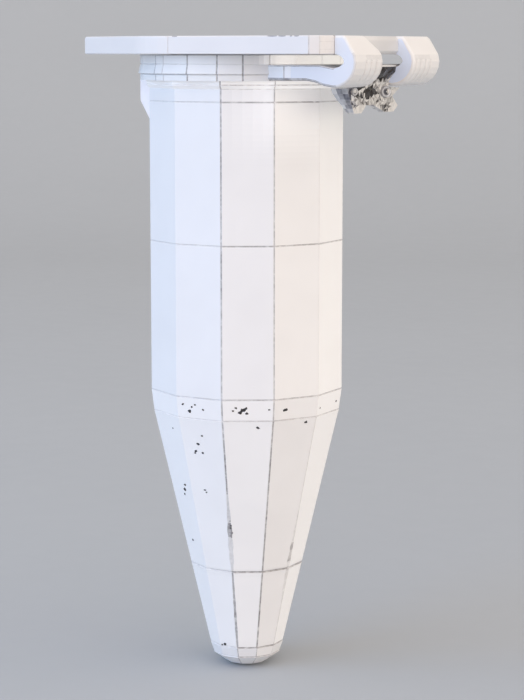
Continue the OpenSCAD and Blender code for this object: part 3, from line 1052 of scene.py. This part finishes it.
# painted highlights and dark reflections as strokes across the facets: from, to, half width, and darkness
PAINTED_STROKES = [
    ((-1.75, -0.56), (-0.81, -0.31), 0.05, 0.0), ((-0.91, -1.13), (0.09, -0.87), 0.03, 0.95),
    ((-1.05, -1.10), (-0.05, -0.82), 0.035, 0.0), ((-1.5, -0.95), (-1.1, -0.7), 0.045, 0.05),
    ((-2.65, -0.95), (-2.3, -0.8), 0.05, 0.0), ((-1.45, -0.70), (-1.15, -0.9), 0.04, 0.85),
    ((-2.75, -0.62), (-2.2, -0.72), 0.05, 0.9)
]


def painted_tone_at(y, z):
    """Painted darkness and blueness of the latch at a point of its face, from the patches and strokes of
    painted reflection and highlight round it.
    """
    total, dark, cool = 1e-6, 0.3e-6, 0.0
    for centre_y, centre_z, reach_y, reach_z, patch_dark, patch_cool in PAINTED_TONES:
        weight = math.exp(-2 * (((y - centre_y) / reach_y) ** 2 + ((z - centre_z) / reach_z) ** 2))
        total += weight
        dark += weight * patch_dark
        cool += weight * patch_cool
    point = Vector((y, z))
    for a, b, half, stroke_dark in PAINTED_STROKES:
        a, b = Vector(a), Vector(b)
        share = min(max((point - a).dot(b - a) / (b - a).length_squared, 0), 1)
        gap = point - a.lerp(b, share)
        if math.hypot(gap.x * 0.6, gap.y) < half:
            return stroke_dark, 0.0
    return dark / total, cool / total


def inside(point, outline):
    """Whether a point lies in a polygon."""
    odd = False
    for a, b in zip(outline, outline[1:] + outline[:1]):
        if (a[1] > point[1]) != (b[1] > point[1]):
            if point[0] < a[0] + (b[0] - a[0]) * (point[1] - a[1]) / (b[1] - a[1]):
                odd = not odd
    return odd


def divided(outline, length):
    """Points along an outline, each side cut into equal parts of about that length."""
    edge = []
    for a, b in zip(outline, outline[1:] + outline[:1]):
        a, b = Vector(a), Vector(b)
        parts = max(1, round((b - a).length / length))
        edge += [a.lerp(b, k / parts) for k in range(parts)]
    return edge


def scattered(edge, outline, chance):
    """Uneven rows of points inside the outline, clear of its edge."""
    low_y, high_y = min(p.x for p in edge), max(p.x for p in edge)
    low_z, high_z = min(p.y for p in edge), max(p.y for p in edge)
    spots = []
    z = low_z + FACET
    while z < high_z:
        y = low_y + FACET
        while y < high_y:
            spot = Vector((y + chance.uniform(-0.6, 0.6) * FACET, z + chance.uniform(-0.35, 0.35) * FACET))
            clear = min((spot - p).length for p in edge)
            if clear > 0.5 * FACET and inside(spot, outline):
                spots.append(spot)
            y += 1.5 * FACET
        z += 0.8 * FACET
    return spots


def front_facets(flat, triangles, chance):
    """The front's faces, all turned outwards, with the painted reflection (darkness, blueness) of each."""
    faces, tones = [], []
    for face in triangles:
        a, b, c = (flat[i] for i in face)
        flipped = (b.x - a.x) * (c.y - a.y) - (b.y - a.y) * (c.x - a.x) < 0
        faces.append(tuple(reversed(face)) if flipped else tuple(face))
        dark, cool = painted_tone_at((a.x + b.x + c.x) / 3, (a.y + b.y + c.y) / 3)
        spread = 0.38 if 0.12 < dark < 0.95 else 0.15
        tones.append((min(max(dark + chance.uniform(-spread, spread), 0), 1), cool))
    return faces, tones


def side_tone(a, b, last, chance):
    """Painted reflections on the sides: the near side is dark inside with a pale outline, and pale towards
    its foot.
    """
    if b.y < a.y and a.x < 0 and not last:
        dark = chance.uniform(0.3, 0.8) * smooth_step(-1.6, -1.2, a.y)
    else:
        dark = chance.uniform(0.0, 0.4)
    return dark, 0.7 * dark


def front_x(z, lean):
    """X of the latch's face: the tongue leans out towards its upper end."""
    return LATCH_X + lean * smooth_step(-0.1, 0.6, z)


def back_x(p, wedge):
    """X of the latch's back: the near foot's reaches further in towards its top outer corner."""
    return LATCH_BACK - wedge * smooth_step(-1.9, -0.4, p.y) * smooth_step(1.4, 2.6, -p.x)


def facet_block(name, outline, seed, lean, wedge):
    """A block drawn in Y and Z whose face and sides are cut into small uneven facets, each with a painted
    tone of reflection or highlight.
    """
    chance = random.Random(seed)
    edge = divided(outline, 1.6 * FACET)
    rim = len(edge)
    seeds = edge + scattered(edge, outline, chance)
    flat, _, triangles, _, _, _ = delaunay_2d_cdt(seeds, [], [list(range(rim))], 1, 1e-6)
    points = []
    for i, p in enumerate(flat):
        points.append((front_x(p.y, lean) - (0.02 if i < rim else chance.uniform(0, RELIEF)), p.x, p.y))
    faces, tones = front_facets(flat, triangles, chance)
    strips = 3
    previous = list(range(rim))
    for strip in range(1, strips + 1):
        current = []
        for i, p in enumerate(edge):
            x = points[i][0] + (back_x(p, wedge) - points[i][0]) * strip / strips
            shake = chance.uniform(-0.03, 0.03) if strip < strips else 0.0
            current.append(len(points))
            points.append((x + shake, p.x + shake, p.y))
        for i in range(rim):
            k = (i + 1) % rim
            faces.append((previous[i], current[i], current[k], previous[k]))
            tones.append(side_tone(edge[i], edge[k], strip == strips, chance))
        previous = current
    faces.append(tuple(reversed(previous)))
    tones.append((0.35, 0.2))
    block = add_mesh(name, points, faces, LATCH_CLEAR, [tone[0] for tone in tones], smooth_angle=3)
    paint(block, "cool", [tone[1] for tone in tones])
    return block


def oval_boss(name, centre, reach, profile, cool=0.35):
    """A smooth oval boss on the latch's face. profile lists (share of the reach, height, darkness), the
    darkness being painted reflection.
    """
    rings = []
    for scale, height, _ in profile:
        x = LATCH_X - 0.01 + height
        y, z = reach[0] * scale, reach[1] * scale
        rings.append([(x, centre[0] + y * cosine, centre[1] + z * sine) for cosine, sine in circle(28)])
    points, faces, ink = loft(rings, lambda j, i: profile[j][2], closed=False, cap_start=True, cap_end=True)
    faces = [tuple(reversed(face)) for face in faces]
    boss = add_mesh(name, points, faces, LATCH_CLEAR, ink, smooth_angle=40)
    paint(boss, "cool", [cool] * len(faces))
    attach(boss, "latch")


def make_latch_blocks():
    """The four faceted blocks: the tongue between the straps, the body under them and its two feet."""
    tongue = [(-1.72, -0.1), (1.72, -0.1), (1.72, 0.72), (-1.72, 0.72)]
    body = [
        (-3.3, -0.36), (-2.75, -1.2), (-0.97, -1.26), (-0.16, -1.26), (0.6, -1.2), (2.2, -0.85),
        (3.13, -0.4), (1.72, -0.33), (1.72, -0.1), (-1.72, -0.1), (-1.72, -0.33)
    ]
    right_foot = [(-2.75, -1.2), (-2.47, -1.6), (-2.35, -1.66), (-1.54, -1.66), (-0.97, -1.26)]
    left_foot = [(0.6, -1.2), (-0.16, -1.26), (1.29, -1.67), (2.38, -1.67), (2.92, -1.35), (2.2, -0.85)]
    # piece, outline, random seed, how far the face leans and the back reaches in, and node
    blocks = (
        ("latch_tongue", tongue, 3, 0.44, 0.0, "latch_arm"),
        ("latch_body", body, 5, 0.0, 0.6, "latch_plate"),
        ("latch_foot_right", right_foot, 8, 0.0, 0.6, "latch_prong_right"),
        ("latch_foot_left", left_foot, 13, 0.0, 0.0, "latch_prong_left")
    )
    for name, outline, seed, lean, wedge, node in blocks:
        settle(facet_block(name, outline, seed, lean, wedge), "latch", "latch_clear", node)


def make_latch_bars():
    """The bar that joins the tongue to the collar, and the cap on the tongue's upper end."""
    neck = [(5.81, 0.1), (7.45, 0.1), (7.45, 0.6), (5.81, 0.6)]
    cap = [(LATCH_BACK, 0.7), (8.17, 0.7), (8.2, 0.82), (LATCH_BACK, 0.86)]
    bars = ("latch_neck_bar", neck, 1.1, 0.06), ("latch_tongue_cap", cap, 1.72, 0.03)
    for name, outline, half, bevel in bars:
        piece = prism(name, outline, half, LATCH_CLEAR, bevel)
        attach(piece, "latch")


def make_latch_bosses():
    """A ring and a bead on each side of the latch's face: the rings are painted dark as reflections and the
    white beads are painted highlights.
    """
    ring = [(1.2, -0.03, 0.6), (1.05, 0.05, 0.3), (0.88, 0.07, 0.15), (0.72, 0.03, 0.7)]
    ring += [(0.5, 0.02, 0.9), (0.1, 0.03, 0.9)]
    bead = [(1.0, -0.02, 0.15), (0.8, 0.07, 0.0), (0.4, 0.1, 0.0), (0.1, 0.11, 0.0)]
    oval_boss("latch_ring_left", (1.38, -0.6), (0.54, 0.27), ring)
    oval_boss("latch_highlight_bead_left", (1.56, -0.58), (0.13, 0.15), bead, 0.0)
    oval_boss("latch_ring_right", (-2.42, -0.53), (0.3, 0.2), ring)
    oval_boss("latch_highlight_bead_right", (-2.45, -0.50), (0.17, 0.13), bead, 0.0)


# ---------------- the stage

# metres and degrees from here on; the lens is in millimetres
CAMERA_TURN, CAMERA_REACH, CAMERA_Z = 29.154, 0.110, 0.001595
CAMERA_LENS, CAMERA_DOWN, CAMERA_PAN = 103.02, 8.516, 0.452
FLOOR_TURN, FLOOR_HALF = 28.7, 1.5
FLOOR_FRONT, FLOOR_BACK, SWEEP_R, WALL_TOP = -1.2, 0.22, 0.2, 1.0


def make_stage():
    """A pale floor that sweeps up behind the tube."""
    low = cad_box[0][2]
    cosine, sine = turned(FLOOR_TURN)
    away = Vector((-sine, cosine, 0))
    across = Vector((cosine, sine, 0))
    profile = [(FLOOR_FRONT, 0.0), (FLOOR_BACK, 0.0)]
    for k in range(1, 13):
        cosine, sine = turned(90 * k / 12)
        profile.append((FLOOR_BACK + SWEEP_R * sine, SWEEP_R - SWEEP_R * cosine))
    profile.append((FLOOR_BACK + SWEEP_R, WALL_TOP))
    points = []
    for reach, height in profile:
        for half in (-FLOOR_HALF, FLOOR_HALF):
            points.append(away * reach + across * half + Vector((0, 0, low + height)))
    faces = [(2 * k, 2 * k + 1, 2 * k + 3, 2 * k + 2) for k in range(len(profile) - 1)]
    mesh = bpy.data.meshes.new("floor")
    mesh.from_pydata(points, [], faces)
    mesh.materials.append(FLOOR_PAINT)
    mesh.shade_smooth()
    floor = show("floor", mesh)


LIGHT_TARGET = Vector((0, 0, -0.012))


def area_light(name, place, size, watts, colour):
    """A rectangular soft light that points at the middle of the tube."""
    data = bpy.data.lights.new(name, "AREA")
    data.shape = "RECTANGLE"
    data.size, data.size_y = size
    data.energy = watts
    data.color = colour
    lamp = show(name, data)
    lamp.location = place
    lamp.rotation_euler = (LIGHT_TARGET - Vector(place)).to_track_quat("-Z", "Y").to_euler()


# name, place, size, watts, colour
LIGHTS = [
    ("cool_key", (-0.18, -0.24, 0.06), (0.26, 0.34), 0.54, (0.06, 0.44, 1.0)),
    ("rose_front", (0.24, -0.19, 0.02), (0.2, 0.34), 0.07, (1.0, 0.25, 0.15)),
    ("warm_fill", (0.30, -0.02, -0.08), (0.26, 0.34), 0.42, (1.0, 0.98, 0.76)),
]
WORLD_STRENGTH = 1.18
WORLD_COLOUR = (1.0, 0.92, 0.86)


def make_lights():
    """Three soft lights and an even, slightly warm world."""
    for settings in LIGHTS:
        area_light(*settings)
    world = bpy.data.worlds.new("studio")
    world.use_nodes = True
    world.node_tree.nodes["Background"].inputs["Color"].default_value = (*WORLD_COLOUR, 1.0)
    world.node_tree.nodes["Background"].inputs["Strength"].default_value = WORLD_STRENGTH
    bpy.context.scene.world = world


def make_camera():
    """A long lens 110 mm from the tube's axis, a little above the lid's underside."""
    data = bpy.data.cameras.new("camera")
    data.sensor_width = 36
    data.lens = CAMERA_LENS
    data.clip_start = 0.005
    camera = show("camera", data)
    cosine, sine = turned(CAMERA_TURN)
    camera.location = (CAMERA_REACH * sine, -CAMERA_REACH * cosine, CAMERA_Z)
    camera.rotation_euler = (math.radians(90 - CAMERA_DOWN), 0, math.radians(CAMERA_TURN - CAMERA_PAN))
    bpy.context.scene.camera = camera


make_camera()
make_barrel()
make_band()
make_cone()
make_tip()
make_collar()
make_rib()
make_grains()
make_plate()
make_tab()
make_nicks()
make_plug()
make_bridge()
for side, word in ((1, "left"), (-1, "right")):
    make_strap(side, word)
make_latch_blocks()
make_latch_bars()
make_latch_bosses()
make_stage()
make_lights()
bpy.context.scene.view_settings.view_transform = "Standard"
